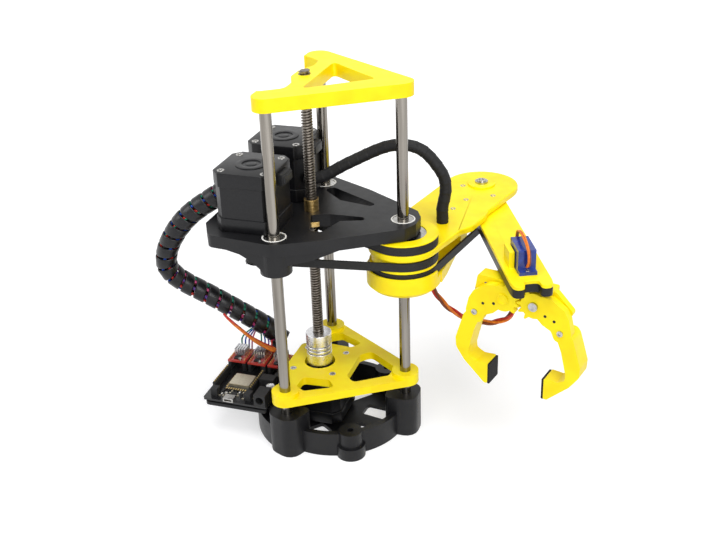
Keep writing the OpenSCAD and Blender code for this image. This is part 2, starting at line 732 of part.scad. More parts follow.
link_t = 6;
front_y = -9;
palm_front = front_y + link_t + 0.8;
palm_back = palm_front + 5;
module gripper_palm() {
    color(yellow) on_grip() difference() {
        union() {
            along_y(palm_front, palm_back) polygon(soft_poly([
                [-33, palm_top, 2], [-35, palm_top - 12, 3], [-27, palm_top - 20, 4],
                [-12, palm_top - 22, 3], [0, palm_top - 17, 3], [12, palm_top - 20, 3],
                [33, palm_top - 19, 3], [37, palm_top - 13, 3], [24, palm_top, 4]]));
            along_y(palm_front, 9) polygon(soft_poly([[-33, palm_top, 1],
                [-33, palm_top - 5, 1], [22, palm_top - 5, 1], [22, palm_top, 1]]));
        }
        // servo seat and the pivot hole
        translate([servo_end - piv_x - servo[0] - 4.6 - fit, palm_back,
            piv_z - servo[1] / 2 - fit])
            cube([servo[0] + 9.2 + 2 * fit, 20, servo[1] + 2 * fit]);
        translate([servo_end - piv_x - servo[0] - fit, -30, piv_z - servo[1] / 2 - fit])
            cube([servo[0] + 2 * fit, 60, servo[1] + 2 * fit]);
        translate([piv_x, 30, piv_z]) rotate([90, 0, 0]) cylinder(r = 1.6 + fit, h = 60);
    }
}

module gripper_servo() {
    color([0.08, 0.15, 0.6]) on_grip() translate([-piv_x, palm_back, piv_z])
        rotate([-90, 0, 0]) small_servo(15, palm_back - palm_front);
    color([0.9, 0.9, 0.9]) on_grip() translate([-piv_x, palm_front + 0.5, piv_z])
        rotate([90, 0, 0]) cylinder(r = 2.4, h = palm_front + 0.5 - front_y);
}

module gripper_lead() {
    color([0.6, 0.15, 0.1]) cord(smooth(lead_way, 3), lead_d / 2, 8);
}

teeth = 12;
module gear_disc(turn) {
    p = 360 / teeth;
    circle(piv_x - 1.9);
    for (i = [-2:2]) rotate(i * p + turn) polygon([[piv_x - 2.6, -1.75],
        [piv_x - 1.9, -1.65], [piv_x + 1.2, -0.5], [piv_x + 1.2, 0.5],
        [piv_x - 1.9, 1.65], [piv_x - 2.6, 1.75]]);
}

// Right jaw seen from the front, with its pivot at [piv_x, piv_z]
jaw_screw = [31, palm_top - 25.3];
module jaw(turn) {
    dz = palm_top - 137.1;
    dx = jaw_x - 19.4;
    color(yellow) difference() {
        union() {
            along_y(front_y, front_y + link_t) {
                translate([piv_x, piv_z]) mirror([1, 0]) gear_disc(turn);
                polygon(soft_poly([[piv_x + 2, piv_z - 8, 3], [18, 113.9 + dz, 2], [24, 111, 2],
                    [27, 104 + dz, 4], [37, 104 + dz, 6], [38.5, 112 + dz, 5],
                    [36.3, 121.9 + dz, 4], [32.8, 128 + dz, 4], [23, 134.6 + dz, 5],
                    [piv_x + 2, piv_z + 9, 4]]));
            }
            along_y(front_y, front_y + jaw_t) polygon(soft_poly([
                [27 + dx, 110 + dz, 4], [32 + dx, 97 + dz, 6], [36 + dx, 80 + dz, 2],
                [35.5 + dx, 75.5 + dz, 2], [30 + dx, 72.5 + dz, 3],
                [20.9 + dx, 73.2 + dz, 1], [20.9 + dx, 57 + dz, 1], [23.5 + dx, 57 + dz, 2],
                [39 + dx, 71.3 + dz, 5], [45.5 + dx, 80.5 + dz, 5], [46 + dx, 88 + dz, 6],
                [40 + dx, 108 + dz, 4], [37 + dx, 112 + dz, 4]]));
        }
        translate([piv_x, 60, piv_z]) rotate([90, 0, 0]) cylinder(r = 2.4 + play, h = 120);
    }
}
module jaw_right() {
    on_grip() jaw(0);
}
module jaw_left() {
    on_grip() mirror([1, 0, 0]) jaw(180 / teeth);
}
module pad() {
    dz = palm_top - 137.1;
    color(black) translate([jaw_x, front_y, 57 + dz]) cube([1.5, jaw_t, pad_h]);
}
module pad_right() {
    on_grip() pad();
}
module pad_left() {
    on_grip() mirror([1, 0, 0]) pad();
}
module jaw_screws() {
    color(steel) on_grip() translate([piv_x, palm_front + 5, piv_z]) rotate([90, 0, 0]) {
        cylinder(r = 1.6, h = palm_front + 5 - front_y);
        translate([0, 0, palm_front + 5 - front_y]) cylinder(r = 3.2, h = 1.8);
    }
}

base_shell();
lower_plate();
top_plate();
rod_front();
rod_shoulder();
rod_back();
lift_motor();
board_bracket();
circuit_board();
wifi_module();
driver_boards();
heat_sinks();
power_jack();
usb_socket();
wire_sockets();
wire_loom();
lead_screw();
shaft_coupling();
platform();
lift_nut();
rod_bearings();
shoulder_motor();
elbow_motor();
motor_pinions();
shoulder_belt();
drive_belt();
arm_sleeve();
upper_arm_plate();
shoulder_pulley();
upper_arm_shell();
arm_bearings();
elbow_cap();
elbow_pin();
elbow_belt();
idler_pulley();
forearm_cover();
forearm_body();
elbow_pulley();
wrist_servo();
wrist_horn();
wrist_lead();
gripper_palm();
gripper_servo();
gripper_lead();
jaw_left();
jaw_right();
pad_left();
pad_right();
jaw_screws();
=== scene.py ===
# %% [markdown]
# # A small desktop robot arm
# This lesson dresses a finished CAD model of a desktop robot arm. A motor platform
# climbs three bright rods on a lead screw. It carries a folding arm with belts, a
# turning wrist and a gripper. The CAD model fixes every size and every joint, so
# nothing is moved here: each piece below is modelled where the CAD says it sits.

# %% Load the frame
import json
from math import asin, atan2, cos, radians, sin, tau

import bmesh
import bpy
from mathutils import Matrix, Vector


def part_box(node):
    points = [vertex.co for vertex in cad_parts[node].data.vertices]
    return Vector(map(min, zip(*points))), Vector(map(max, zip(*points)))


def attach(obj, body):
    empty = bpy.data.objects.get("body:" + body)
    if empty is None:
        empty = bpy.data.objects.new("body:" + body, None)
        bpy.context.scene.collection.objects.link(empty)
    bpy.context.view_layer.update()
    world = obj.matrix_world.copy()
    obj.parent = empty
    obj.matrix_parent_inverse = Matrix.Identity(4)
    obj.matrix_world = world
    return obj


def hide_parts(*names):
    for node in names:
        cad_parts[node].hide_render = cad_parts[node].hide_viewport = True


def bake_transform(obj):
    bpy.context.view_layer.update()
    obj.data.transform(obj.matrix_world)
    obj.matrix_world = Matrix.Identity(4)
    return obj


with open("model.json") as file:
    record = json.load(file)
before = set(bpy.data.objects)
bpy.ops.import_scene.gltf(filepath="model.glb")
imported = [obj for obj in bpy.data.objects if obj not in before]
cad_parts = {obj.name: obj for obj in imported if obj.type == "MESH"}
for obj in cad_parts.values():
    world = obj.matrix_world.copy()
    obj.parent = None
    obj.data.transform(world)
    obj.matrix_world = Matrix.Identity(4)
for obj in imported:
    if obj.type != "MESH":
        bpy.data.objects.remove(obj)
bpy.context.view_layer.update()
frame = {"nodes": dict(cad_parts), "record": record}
nodes = frame["nodes"]
MM = 0.001

# %% [markdown]
# ## The camera
# The arm is seen from the front, a little to the right and from above. A long lens
# keeps the upright rods almost parallel. The camera could be aimed with a Track To
# constraint, but writing its matrix once keeps the small roll of a hand-held view.

# %% Camera
right = Vector((0.9485, 0.3152, -0.0316))
up = Vector((-0.1137, 0.4318, 0.8947))
ahead = Vector((-0.2956, 0.8451, -0.4454))
lens = bpy.data.cameras.new("camera")
lens.lens, lens.sensor_width = 54.53, 36.0
camera = bpy.data.objects.new("camera", lens)
bpy.context.scene.collection.objects.link(camera)
camera_spot = Vector((0.2486, -0.653, 0.4714))
camera.matrix_world = Matrix((
    (right.x, up.x, -ahead.x, camera_spot.x), (right.y, up.y, -ahead.y, camera_spot.y),
    (right.z, up.z, -ahead.z, camera_spot.z), (0, 0, 0, 1)))
bpy.context.scene.camera = camera
print("camera at", [round(v, 3) for v in camera.matrix_world.translation])

# %% [markdown]
# ## Studio
# The arm stands on a plain white table in soft light. A lit white floor would need
# strong lamps that also wash out the arm. Instead the floor and the sky glow white
# for the camera, for mirrors and for glass, and dimly for everything else. The floor
# still takes the soft shadow of the arm.

# %% Studio light and floor
scene = bpy.context.scene
scene.view_settings.view_transform = "Standard"


def math_node(tree, operation, *values):
    """A Math node whose inputs are links or plain numbers; gives its output."""
    node = tree.nodes.new("ShaderNodeMath")
    node.operation = operation
    for socket, value in zip(node.inputs, values):
        if isinstance(value, (int, float)):
            socket.default_value = value
        else:
            tree.links.new(value, socket)
    return node.outputs[0]


def seen_ray(tree):
    """1 for camera, mirror and glass rays, 0 for light bounced off plain surfaces."""
    rays = tree.nodes.new("ShaderNodeLightPath").outputs
    either = math_node(tree, "MAXIMUM", rays["Is Camera Ray"], rays["Is Glossy Ray"])
    return math_node(tree, "MAXIMUM", either, rays["Is Transmission Ray"])


world = bpy.data.worlds.new("studio sky")
scene.world = world
world.use_nodes = True
sky = world.node_tree.nodes["Background"]
sky_dim, sky_gain = 0.38, 0.62
sky_level = math_node(world.node_tree, "MULTIPLY_ADD", seen_ray(world.node_tree), sky_gain,
                      sky_dim)
world.node_tree.links.new(sky_level, sky.inputs["Strength"])
sky.inputs["Color"].default_value = (1, 1, 1, 1)

bpy.ops.object.select_all(action="DESELECT")
bpy.ops.mesh.primitive_plane_add(size=6, location=(0, 0, -0.0003))
floor = bpy.context.object
floor.name = "table_top"
table = bpy.data.materials.new("white table")
table.use_nodes = True
tree = table.node_tree
paint = tree.nodes["Principled BSDF"]
paint.inputs["Base Color"].default_value = (0.62, 0.62, 0.63, 1)
paint.inputs["Roughness"].default_value = 0.6
paint.inputs["Specular IOR Level"].default_value = 0.2
glow = tree.nodes.new("ShaderNodeEmission")
glow.inputs["Color"].default_value = (1, 1, 1, 1)
spot = tree.nodes.new("ShaderNodeTexCoord")
reach = tree.nodes.new("ShaderNodeVectorMath")
reach.operation = "LENGTH"
fade = tree.nodes.new("ShaderNodeMapRange")
fade.inputs["From Min"].default_value, fade.inputs["From Max"].default_value = 0.25, 1.1
fade.inputs["To Min"].default_value, fade.inputs["To Max"].default_value = 1.0, 2.0
tree.links.new(spot.outputs["Object"], reach.inputs[0])
tree.links.new(reach.outputs["Value"], fade.inputs["Value"])
floor_glow = 0.5
seen_glow = math_node(tree, "MULTIPLY", seen_ray(tree), floor_glow)
tree.links.new(math_node(tree, "MULTIPLY", fade.outputs["Result"], seen_glow),
               glow.inputs["Strength"])
both = tree.nodes.new("ShaderNodeAddShader")
tree.links.new(paint.outputs["BSDF"], both.inputs[0])
tree.links.new(glow.outputs["Emission"], both.inputs[1])
tree.links.new(both.outputs["Shader"], tree.nodes["Material Output"].inputs["Surface"])
floor.data.materials.append(table)


def lamp(name, place, aim, size, watts):
    """A square soft box that looks at a point."""
    data = bpy.data.lights.new(name, "AREA")
    data.shape, data.size, data.energy = "SQUARE", size, watts
    item = bpy.data.objects.new(name, data)
    scene.collection.objects.link(item)
    item.location = place
    item.rotation_euler = (Vector(aim) - Vector(place)).to_track_quat("-Z", "Y").to_euler()


arm_middle = (0.03, 0, 0.12)
lamp("top_box", (0.1, -0.2, 1.25), arm_middle, 0.9, 10.0)
lamp("front_box", (0.75, -1.0, 0.75), arm_middle, 0.8, 10.0)
lamp("left_box", (-1.1, -0.5, 0.6), arm_middle, 0.6, 4.0)

# %% [markdown]
# ## Finishes
# Every finish is built from nodes. A small helper makes a Principled material and
# hands back its nodes, so that each finish below only adds what is special to it.

# %% Helper for a finish
def finish(name, colour, rough, metal=0.0):
    """A new material with its shader's main sockets set."""
    m = bpy.data.materials.new(name)
    m.use_nodes = True
    s = m.node_tree.nodes["Principled BSDF"]
    s.inputs["Base Color"].default_value = (*colour, 1)
    s.inputs["Roughness"].default_value = rough
    s.inputs["Metallic"].default_value = metal
    return m, m.node_tree, s


def object_space(t, scale=(1, 1, 1)):
    """Object coordinates, stretched by a Mapping node."""
    where = t.nodes.new("ShaderNodeTexCoord")
    map_ = t.nodes.new("ShaderNodeMapping")
    map_.inputs["Scale"].default_value = scale
    t.links.new(where.outputs["Object"], map_.inputs["Vector"])
    return map_.outputs["Vector"]


def noise(t, vector, scale, detail=3.0, rough=0.5):
    """A noise texture's grey output."""
    n = t.nodes.new("ShaderNodeTexNoise")
    n.inputs["Scale"].default_value = scale
    n.inputs["Detail"].default_value = detail
    n.inputs["Roughness"].default_value = rough
    t.links.new(vector, n.inputs["Vector"])
    return n.outputs["Fac"]


def ramp(t, factor, stops):
    """A colour ramp from (place, colour) stops."""
    r = t.nodes.new("ShaderNodeValToRGB")
    while len(r.color_ramp.elements) < len(stops):
        r.color_ramp.elements.new(0.5)
    for e, (place, colour) in zip(r.color_ramp.elements, stops):
        e.position = place
        e.color = (*colour, 1) if len(colour) == 3 else colour
    t.links.new(factor, r.inputs["Fac"])
    return r.outputs["Color"]


def spread(t, factor, low, high):
    """Maps 0 to 1 onto low to high."""
    r = t.nodes.new("ShaderNodeMapRange")
    r.inputs["To Min"].default_value = low
    r.inputs["To Max"].default_value = high
    t.links.new(factor, r.inputs["Value"])
    return r.outputs["Result"]


def bump(t, shader, height, depth, strength=1.0, under=None):
    """Adds a bump of that depth in metres, on top of another one if given."""
    b = t.nodes.new("ShaderNodeBump")
    b.inputs["Distance"].default_value = depth
    b.inputs["Strength"].default_value = strength
    t.links.new(height, b.inputs["Height"])
    if under is not None:
        t.links.new(under, b.inputs["Normal"])
    t.links.new(b.outputs["Normal"], shader.inputs["Normal"])
    return b.outputs["Normal"]


print("finish helpers ready")

# %% [markdown]
# ### Printed plastic
# The yellow and the black parts come off a 3D printer, so their sides show fine
# flat layers. A wave texture along Z gives the layers, and a soft noise varies the
# colour and the gloss as the plastic cools unevenly.

# %% Printed plastic
layer_height = 0.00025
bands_in_wave = 20


def printed(name, dark, light, rough, shine):
    """Printed plastic with layers 0.25 mm apart."""
    m, t, s = finish(name, light, rough)
    s.inputs["Specular IOR Level"].default_value = shine
    where = object_space(t)
    blot = noise(t, where, 55, 4)
    t.links.new(ramp(t, blot, [(0.3, dark), (0.62, light)]), s.inputs["Base Color"])
    t.links.new(spread(t, noise(t, where, 140, 3), rough - 0.07, rough + 0.09),
                s.inputs["Roughness"])
    layers = t.nodes.new("ShaderNodeTexWave")
    layers.bands_direction = "Z"
    layers.inputs["Scale"].default_value = tau / (bands_in_wave * layer_height)
    layers.inputs["Distortion"].default_value = 0.15
    t.links.new(where, layers.inputs["Vector"])
    first = bump(t, s, layers.outputs["Fac"], 0.00002, 0.55)
    bump(t, s, noise(t, where, 900, 2), 0.00001, 0.35, first)
    return m


yellow = printed("yellow printed plastic", (0.96, 0.71, 0.0), (1.0, 0.82, 0.002), 0.38, 0.3)
black = printed("black printed plastic", (0.004, 0.004, 0.005), (0.009, 0.009, 0.010),
                0.36, 0.28)
print("printed:", yellow.name, "and", black.name)

# %% [markdown]
# ### Metals
# Rods, screws and bearings are ground steel, the coupling is turned aluminium and
# the nut is brass. All of them are fully metallic. What tells them apart is the
# colour and the scratches: long and faint along a rod, rings around a turned part.

# %% Metals
def metal(name, dark, light, rough, grain=(1, 1, 1), scale=300, depth=0.000004):
    """A metal with fine marks stretched along its grain."""
    m, t, s = finish(name, light, rough, 1.0)
    where = object_space(t, grain)
    marks = noise(t, where, scale, 5, 0.6)
    t.links.new(ramp(t, marks, [(0.3, dark), (0.7, light)]), s.inputs["Base Color"])
    t.links.new(spread(t, marks, rough * 0.7, rough * 1.5), s.inputs["Roughness"])
    bump(t, s, marks, depth, 0.5)
    return m


rod_steel = metal("ground rod steel", (0.17, 0.155, 0.135), (0.30, 0.28, 0.25), 0.12, (1, 1, 0.03))
bright_steel = metal("bright steel", (0.34, 0.33, 0.31), (0.58, 0.57, 0.55), 0.2)
screw_steel = metal("rolled thread steel", (0.09, 0.07, 0.055), (0.34, 0.31, 0.27), 0.3,
                    (1, 1, 3), 500)
turned_aluminium = metal("turned aluminium", (0.66, 0.66, 0.67), (0.86, 0.86, 0.87), 0.26,
                         (1, 1, 8), 260)
brass = metal("turned brass", (0.45, 0.28, 0.08), (0.78, 0.56, 0.24), 0.3, (1, 1, 4), 300)
tin = metal("tinned shield", (0.55, 0.50, 0.38), (0.74, 0.69, 0.55), 0.36, (1, 1, 1), 900)
gold = metal("gold pads", (0.62, 0.44, 0.16), (0.86, 0.66, 0.30), 0.3)
print("seven metals")

# %% [markdown]
# ### Paint, rubber, cloth and small plastics
# The motors have satin black paint with a faint orange peel. The belts and pads are
# matt rubber, the cable sleeve is woven, and the servo cases are clear blue plastic.

# %% Paint, rubber and small plastics
def speckled(name, dark, light, rough, scale=200, depth=0.00001, coat=0.0, shine=0.3):
    """A plastic, paint or rubber with a fine grain."""
    m, t, s = finish(name, light, rough)
    s.inputs["Specular IOR Level"].default_value = shine
    s.inputs["Coat Weight"].default_value = coat
    s.inputs["Coat Roughness"].default_value = 0.12
    where = object_space(t)
    grain = noise(t, where, scale, 4, 0.6)
    t.links.new(ramp(t, grain, [(0.32, dark), (0.66, light)]), s.inputs["Base Color"])
    t.links.new(spread(t, noise(t, where, scale * 0.4, 3), rough - 0.06, rough + 0.08),
                s.inputs["Roughness"])
    bump(t, s, grain, depth, 0.6)
    return m


motor_paint = speckled("black motor paint", (0.003, 0.003, 0.004), (0.007, 0.007, 0.008), 0.32,
                       700)
rubber = speckled("belt rubber", (0.006, 0.006, 0.006), (0.018, 0.018, 0.018), 0.62, 1500)
foam = speckled("foam pad", (0.004, 0.004, 0.004), (0.022, 0.022, 0.022), 0.85, 1800, 0.0001)
mask_black = speckled("black board mask", (0.004, 0.004, 0.005), (0.015, 0.015, 0.016), 0.24,
                      900, coat=0.3)
mask_red = speckled("red board mask", (0.32, 0.02, 0.018), (0.50, 0.045, 0.035), 0.28, 800,
                    coat=0.3)
servo_blue = speckled("blue servo case", (0.004, 0.018, 0.16), (0.010, 0.045, 0.32), 0.2, 300,
                      coat=0.4)
nylon = speckled("white nylon", (0.70, 0.69, 0.66), (0.86, 0.85, 0.82), 0.4, 400)
wrap_black = speckled("black spiral wrap", (0.003, 0.003, 0.004), (0.009, 0.009, 0.011), 0.3, 250)
tape_black = speckled("black cloth tape", (0.004, 0.004, 0.005), (0.014, 0.014, 0.015), 0.62, 1400,
                      0.00004)
wire_orange = speckled("orange wire", (0.62, 0.13, 0.015), (0.86, 0.26, 0.03), 0.42, 500)
wire_red = speckled("red wire", (0.42, 0.015, 0.012), (0.62, 0.04, 0.03), 0.42, 500)
wire_brown = speckled("brown wire", (0.14, 0.035, 0.018), (0.26, 0.075, 0.04), 0.45, 500)
wire_blue = speckled("blue wire", (0.01, 0.04, 0.30), (0.03, 0.10, 0.48), 0.42, 500)
wire_green = speckled("green wire", (0.01, 0.14, 0.08), (0.03, 0.28, 0.18), 0.42, 500)
wire_pink = speckled("pink wire", (0.36, 0.03, 0.12), (0.58, 0.07, 0.22), 0.42, 500)
wire_violet = speckled("violet wire", (0.07, 0.03, 0.20), (0.14, 0.06, 0.34), 0.42, 500)
chip = speckled("moulded chip", (0.008, 0.008, 0.008), (0.020, 0.020, 0.021), 0.5, 900)
print("small finishes ready")

# %% [markdown]
# ### A finish for every part
# The CAD parts that keep their shape only need a finish, so one table names it for
# each of them. The copies and new pieces further down take theirs from the same table
# or name another one.

# %% Finishes of the CAD parts
looks = {
    "base_shell": black, "lower_plate": yellow, "top_plate": yellow,
    "rod_front": rod_steel, "rod_shoulder": rod_steel, "rod_back": rod_steel,
    "lift_motor": motor_paint, "board_bracket": black, "circuit_board": mask_black,
    "wifi_module": tin, "driver_boards": mask_red, "heat_sinks": turned_aluminium,
    "power_jack": chip, "usb_socket": bright_steel, "wire_sockets": chip,
    "wire_loom": wrap_black, "lead_screw": screw_steel, "shaft_coupling": turned_aluminium,
    "platform": black, "lift_nut": brass, "rod_bearings": bright_steel,
    "shoulder_motor": motor_paint, "elbow_motor": motor_paint,
    "motor_pinions": turned_aluminium, "shoulder_belt": rubber, "drive_belt": rubber,
    "arm_sleeve": wrap_black, "upper_arm_plate": yellow, "shoulder_pulley": yellow,
    "upper_arm_shell": yellow, "arm_bearings": bright_steel, "elbow_cap": yellow,
    "elbow_pin": bright_steel, "elbow_belt": rubber, "idler_pulley": yellow,
    "forearm_cover": yellow, "forearm_body": black, "elbow_pulley": black,
    "wrist_servo": servo_blue, "wrist_horn": nylon, "wrist_lead": wire_orange,
    "gripper_palm": yellow, "gripper_servo": servo_blue, "gripper_lead": wire_red,
    "jaw_left": yellow, "jaw_right": yellow, "pad_left": foam, "pad_right": foam,
    "jaw_screws": bright_steel,
}
for name, item in nodes.items():
    item.data.materials.clear()
    item.data.materials.append(looks[name])
print(len(nodes), "CAD parts have a finish")

# %% [markdown]
# ## Working by hand
# The pieces below are modelled as at the screen: pick one object, change it in edit
# mode, then apply its modifiers. These helpers hold the moves that every piece needs.

# %% Modelling helpers
def pick(item):
    """Makes one object the only selected one."""
    if bpy.context.object and bpy.context.object.mode != "OBJECT":
        bpy.ops.object.mode_set(mode="OBJECT")
    bpy.ops.object.select_all(action="DESELECT")
    item.select_set(True)
    bpy.context.view_layer.objects.active = item


def fresh():
    """Deselects everything before a new primitive is added."""
    if bpy.context.object and bpy.context.object.mode != "OBJECT":
        bpy.ops.object.mode_set(mode="OBJECT")
    bpy.ops.object.select_all(action="DESELECT")


def pick_faces(item, test):
    """Selects the faces whose centre and normal pass a test, in edit mode."""
    bpy.ops.object.mode_set(mode="EDIT")
    bpy.ops.mesh.select_mode(type="FACE")
    bpy.ops.mesh.select_all(action="DESELECT")
    mesh = bmesh.from_edit_mesh(item.data)
    for face in mesh.faces:
        face.select_set(bool(test(face.calc_center_median(), face.normal)))
    mesh.select_flush(True)
    bmesh.update_edit_mesh(item.data)


def bevelled(item, width, segments=2, angle=35):
    """Rounds the sharp edges of a piece and applies the modifier."""
    pick(item)
    m = item.modifiers.new("round", "BEVEL")
    m.width, m.segments, m.limit_method = width, segments, "ANGLE"
    m.angle_limit = radians(angle)
    m.use_clamp_overlap = True
    bpy.ops.object.modifier_apply(modifier=m.name)


def done(item, name, look, body, *stands_for, angle=35):
    """Freezes a finished piece in place and lets it ride on its CAD body."""
    pick(item)
    item.name = name
    bpy.ops.object.transform_apply(location=True, rotation=True, scale=True)
    bpy.ops.object.shade_smooth_by_angle(angle=radians(angle))
    item.data.materials.clear()
    item.data.materials.append(look)
    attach(item, body)
    if stands_for:
        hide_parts(*stands_for)
    return item


def out_again(item):
    """Turns all faces outwards after a spin or a mirror."""
    pick(item)
    bpy.ops.object.mode_set(mode="EDIT")
    bpy.ops.mesh.select_all(action="SELECT")
    bpy.ops.mesh.remove_doubles(threshold=1e-6)
    bpy.ops.mesh.normals_make_consistent(inside=False)
    bpy.ops.object.mode_set(mode="OBJECT")


def merged(pieces, name):
    """Joins several pieces into one."""
    pick(pieces[0])
    for piece in pieces[1:]:
        piece.select_set(True)
    bpy.ops.object.join()
    pieces[0].name = name
    return pieces[0]


print("modelling helpers ready")

# %% [markdown]
# ## Cords
# Four bundles of wire run over the machine. Each follows a route of given points,
# the same ones that the CAD used, so the wires lie where the collision shapes are. A
# curve object would also do, but a swept mesh can carry a winding.

# %% Routes and sweeping
def smooth_way(points, steps):
    """Points on a smooth curve through the chosen ones, in metres."""
    p = [Vector(v) * MM for v in points]
    out = []
    for i in range(len(p) - 1):
        a, b, c, d = p[max(i - 1, 0)], p[i], p[i + 1], p[min(i + 2, len(p) - 1)]
        for j in range(steps):
            t = j / steps
            out.append(0.5 * (2 * b + (c - a) * t + (2 * a - 5 * b + 4 * c - d) * t * t
                              + (3 * b - a - 3 * c + d) * t ** 3))
    return out + [p[-1]]


def even_way(way, count):
    """The same curve cut into equal steps, with two side directions at each."""
    run = [0.0]
    for a, b in zip(way, way[1:]):
        run.append(run[-1] + (b - a).length)
    even, k = [], 0
    for i in range(count + 1):
        s = run[-1] * i / count
        while k < len(run) - 2 and run[k + 1] < s:
            k += 1
        even.append(way[k].lerp(way[k + 1], (s - run[k]) / (run[k + 1] - run[k])))
    along = [(even[min(i + 1, count)] - even[max(i - 1, 0)]).normalized()
             for i in range(count + 1)]
    side = along[0].orthogonal().normalized()
    frames = []
    for spot, t in zip(even, along):
        side = (side - t * side.dot(t)).normalized()
        frames.append((spot, side, t.cross(side)))
    return frames, run[-1]


def at(frames, share, radius, angle):
    """A point beside the curve at a share of its length."""
    x = min(max(share, 0.0), 1.0) * (len(frames) - 1)
    k = min(int(x), len(frames) - 2)
    f = x - k
    spot, u, v = (frames[k][i].lerp(frames[k + 1][i], f) for i in range(3))
    return spot + radius * (cos(angle) * u + sin(angle) * v)


def swept(name, rings, look):
    """A closed tube through rings of points."""
    mesh = bmesh.new()
    loops = [[mesh.verts.new(p) for p in ring] for ring in rings]
    n = len(loops[0])
    for a, b in zip(loops, loops[1:]):
        for j in range(n):
            mesh.faces.new((a[j], a[(j + 1) % n], b[(j + 1) % n], b[j]))
    mesh.faces.new(list(reversed(loops[0])))
    mesh.faces.new(loops[-1])
    bmesh.ops.recalc_face_normals(mesh, faces=mesh.faces)
    data = bpy.data.meshes.new(name)
    mesh.to_mesh(data)
    mesh.free()
    for face in data.polygons:
        face.use_smooth = True
    data.materials.append(look)
    item = bpy.data.objects.new(name, data)
    scene.collection.objects.link(item)
    return item


def strand(name, frames, radius, offset, turns, look, phase=0.0, sides=8):
    """One round wire that winds slowly round the middle of a bundle."""
    count = len(frames) - 1
    middle = [at(frames, i / count, offset, phase + turns * tau * i / count)
              for i in range(count + 1)]
    spots, _ = even_way(middle, count)
    rings = [[p + radius * (cos(tau * j / sides) * u + sin(tau * j / sides) * v)
              for j in range(sides)] for p, u, v in spots]
    return swept(name, rings, look)


def winding(name, frames, length, outer, thick, pitch, width, look, steps=18):
    """A flat strip wound round a bundle, as spiral wrap is."""
    rings = []
    turns = (length - width) / pitch
    lip = 0.12 * width
    for i in range(int(turns * steps) + 1):
        angle = tau * i / steps
        middle = width / 2 + pitch * i / steps
        ring = []
        for shift, radius in ((-width / 2, outer - 0.35 * thick), (-width / 2 + lip, outer),
                              (width / 2 - lip, outer), (width / 2, outer - 0.35 * thick),
                              (width / 2, outer - thick), (-width / 2, outer - thick)):
            ring.append(at(frames, (middle + shift) / length, radius, angle))
        rings.append(ring)
    strip = swept(name, rings, look)
    parts = [swept(name + "_end_%d" % k, [[at(frames, share, radius, tau * j / 24)
             for j in range(24)] for share, radius in turn], look)
             for k, turn in enumerate((
                 ((0, outer - thick), (0, outer), (0.8 * width / length, outer)),
                 ((1 - 0.8 * width / length, outer), (1, outer), (1, outer - thick))))]
    return merged([strip] + parts, name)


# %% [markdown]
# ### The cable loom
# All wires of the moving platform run down to the board in one thick loom. It is a
# black spiral wrap, wound with small gaps that show coloured wires inside. The wrap
# is a flat strip swept round the route, and the wires are thin tubes that twist.

# %% Cable loom
loom_way = [(-65, -14, 186), (-71, -14, 184.8), (-81, -14, 178.5), (-99, -16, 165.5),
            (-113, -16, 150), (-123.5, -14, 132), (-127, -10, 116), (-120, -4, 103),
            (-100, 4, 88), (-76, 14, 69), (-61, 22, 55), (-56, 26, 45.5), (-52, 27, 42.5)]
loom_frames, loom_length = even_way(smooth_way(loom_way, 12), 150)
loom_wires = []
for i, look in enumerate((wire_red, wire_blue, wire_green, wire_pink, wire_violet, wire_red,
                          wire_blue, chip, wire_green, wire_brown, wire_pink, chip)):
    radius = 5.7 if i < 9 else 2.6
    loom_wires.append(strand("loom_wire_%d" % (i + 1), loom_frames, 1.15 * MM, radius * MM,
                             0.7 + 0.05 * i, look, phase=i * tau / (9 if i < 9 else 3), sides=6))
loom_wrap = winding("loom_wrap", loom_frames, loom_length, 8 * MM, 0.7 * MM, 10.6 * MM,
                    8.7 * MM, wrap_black, steps=20)
side_wires = []
for k, (dx, dz, look) in enumerate(((0, 0, wire_orange), (1.6, -1.4, wire_orange),
                                    (3.0, -2.8, wire_orange), (-1.2, 1.6, wire_red))):
    route = [(-86 + dx, -4.5, 77 + dz), (-82 + dx, -6.5, 75 + dz), (-75 + dx, -6, 69 + dz),
             (-67 + dx, -3, 60 + dz), (-61 + dx, 3, 52 + dz), (-57.5 + dx, 9, 46 + dz),
             (-55 + dx, 14, 42 + dz / 2), (-55 + dx, 17.2, 36), (-55 + dx, 17.2, 31.5)]
    wire_frames, _ = even_way(smooth_way(route, 8), 60)
    side_wires.append(strand("orange_wire_%d" % (k + 1), wire_frames, 0.95 * MM, 0.0, 0, look))
for k, (x, look) in enumerate(((-84, wire_green), (-81, wire_blue), (-78, wire_violet),
                               (-75.5, wire_pink), (-68, wire_green), (-65, wire_blue),
                               (-62, wire_violet), (-59.5, wire_red))):
    route = [(-70, 19, 58), ((x - 70) / 2, 19.5, 54), (x, 17.5, 47), (x, 15.2, 41),
             (x, 14.6, 37)]
    wire_frames, _ = even_way(smooth_way(route, 8), 40)
    side_wires.append(strand("card_wire_%d" % (k + 1), wire_frames, 0.62 * MM, 0.0, 0, look))
for piece in side_wires:
    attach(piece, "base_frame")
for piece in [loom_wrap] + loom_wires:
    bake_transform(piece)
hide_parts("wire_loom")
print("loom is", round(loom_length / MM), "mm long")
